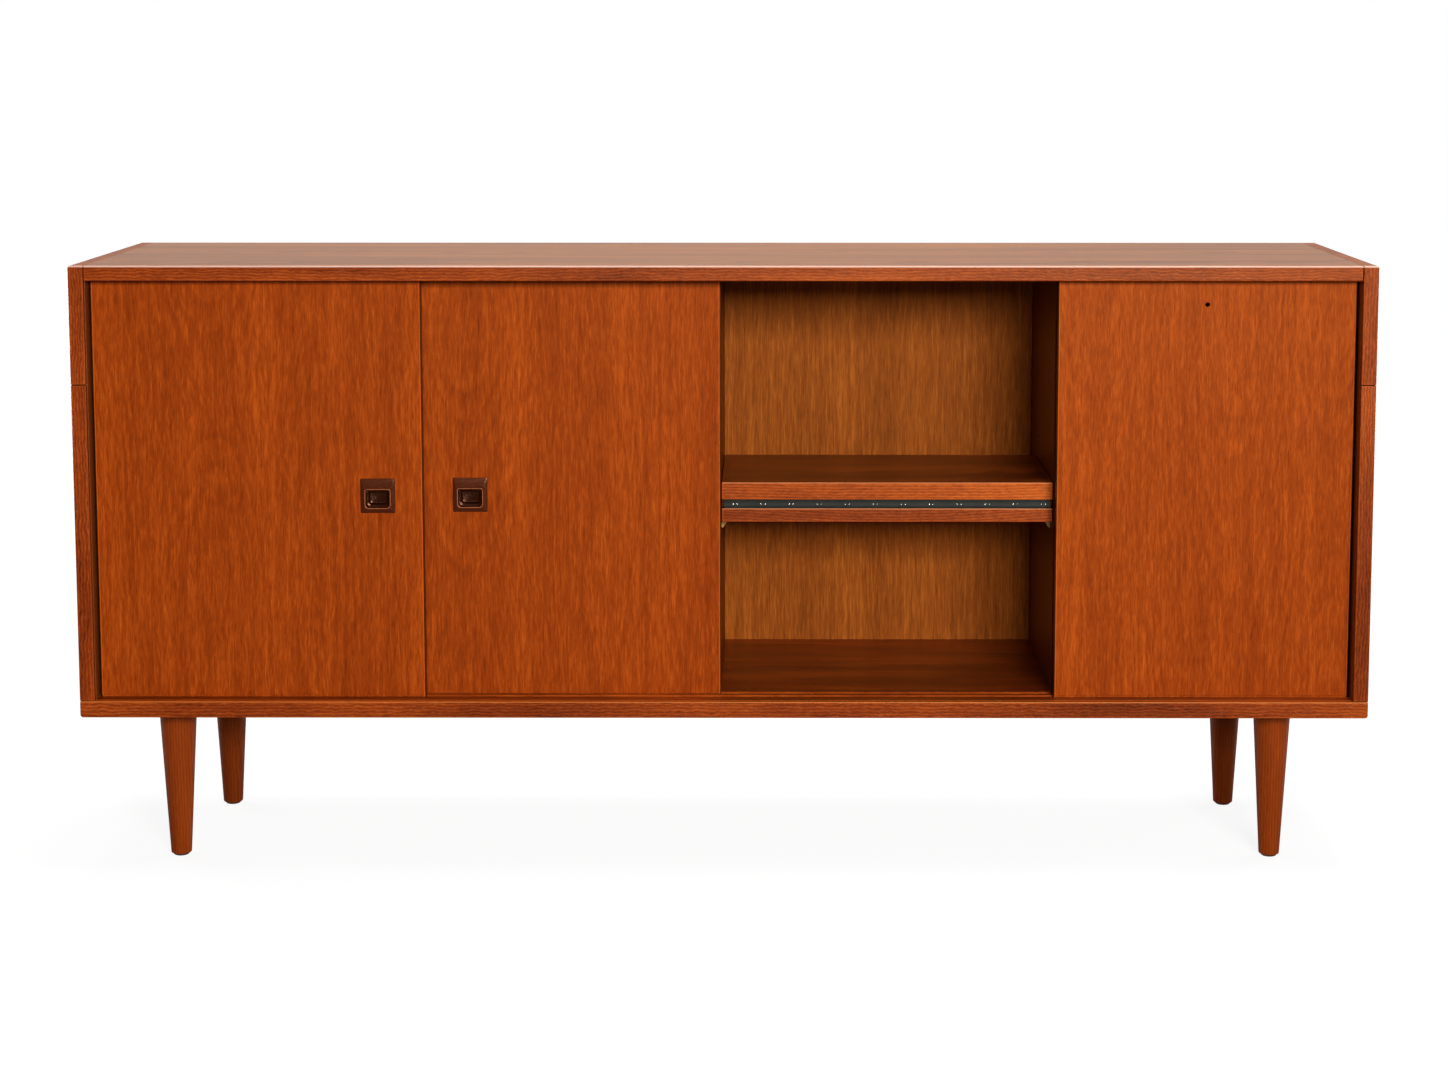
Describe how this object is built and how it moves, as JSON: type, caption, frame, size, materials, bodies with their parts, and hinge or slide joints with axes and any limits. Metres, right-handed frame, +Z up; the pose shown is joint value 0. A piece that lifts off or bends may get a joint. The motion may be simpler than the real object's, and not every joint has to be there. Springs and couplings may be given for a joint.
{
  "type": "sideboard buffet",
  "caption": "Long low sideboard: veneered carcass on turned tapered legs, sliding doors on a two-groove track, and an open bay with a double shelf.",
  "frame": {"origin": "on the floor, under the middle of the carcass", "axes": "+X along the length, to the right as seen from the front; +Y from front to back; +Z up"},
  "size_m": [1.7, 0.4, 0.808],
  "materials": {
    "teak_veneer": "satin oiled teak veneer on board",
    "teak_door": "satin oiled teak veneer, upright grain",
    "teak_lipping": "satin solid teak",
    "teak_interior": "satin dark teak veneer",
    "back_veneer": "paler straight-grained plywood",
    "leg_teak": "satin turned solid wood",
    "pull_wood": "satin dark-stained solid wood",
    "runner_steel": "dark browned steel",
    "ball_steel": "bright steel",
    "support_brass": "plain brass",
    "bolt_steel": "zinc-plated steel",
    "glide_nylon": "dark brown nylon"
  },
  "bodies": {
    "carcass": {"top_board": "teak_veneer", "bottom_board": "teak_veneer", "left_side_board": "teak_veneer", "right_side_board": "teak_veneer", "top_lipping": "teak_lipping", "bottom_lipping": "teak_lipping", "left_side_upper_lipping": "teak_lipping", "left_side_lower_lipping": "teak_lipping", "right_side_upper_lipping": "teak_lipping", "right_side_lower_lipping": "teak_lipping", "back_panel": "back_veneer", "centre_partition": "teak_interior", "right_partition": "teak_interior", "left_shelf": "teak_interior", "right_shelf": "teak_interior", "middle_shelf_upper_board": "teak_interior", "middle_shelf_lower_board": "teak_interior", "middle_shelf_left_spacer": "teak_interior", "middle_shelf_right_spacer": "teak_interior", "runner_channel": "runner_steel", "runner_ball_cage": "ball_steel", "left_shelf_support_front_left": "support_brass", "left_shelf_support_rear_left": "support_brass", "left_shelf_support_front_right": "support_brass", "left_shelf_support_rear_right": "support_brass", "middle_shelf_support_front_left": "support_brass", "middle_shelf_support_rear_left": "support_brass", "middle_shelf_support_front_right": "support_brass", "middle_shelf_support_rear_right": "support_brass", "right_shelf_support_front_left": "support_brass", "right_shelf_support_rear_left": "support_brass", "right_shelf_support_front_right": "support_brass", "right_shelf_support_rear_right": "support_brass", "centre_door_stop": "teak_interior", "leg_front_left": "leg_teak", "leg_front_right": "leg_teak", "leg_rear_left": "leg_teak", "leg_rear_right": "leg_teak", "leg_bolt_front_left": "bolt_steel", "leg_bolt_front_right": "bolt_steel", "leg_bolt_rear_left": "bolt_steel", "leg_bolt_rear_right": "bolt_steel", "floor_glide_front_left": "glide_nylon", "floor_glide_front_right": "glide_nylon", "floor_glide_rear_left": "glide_nylon", "floor_glide_rear_right": "glide_nylon"},
    "left_door": {"left_door_panel": "teak_door", "left_door_pull": "pull_wood", "left_door_glide_left": "glide_nylon", "left_door_glide_right": "glide_nylon"},
    "centre_door": {"centre_door_panel": "teak_door", "centre_door_pull": "pull_wood", "centre_door_glide_left": "glide_nylon", "centre_door_glide_right": "glide_nylon"},
    "right_door": {"right_door_panel": "teak_door", "right_door_glide_left": "glide_nylon", "right_door_glide_right": "glide_nylon"}
  },
  "joints": [
    {"name": "left_door_slide", "type": "slide", "parent": "carcass", "child": "left_door", "axis": [1, 0, 0], "range_m": [0, 0.374]},
    {"name": "centre_door_slide", "type": "slide", "parent": "carcass", "child": "centre_door", "axis": [1, 0, 0], "range_m": [-0.392, 0.832]},
    {"name": "right_door_slide", "type": "slide", "parent": "carcass", "child": "right_door", "axis": [1, 0, 0], "range_m": [-0.442, 0]}
  ]
}
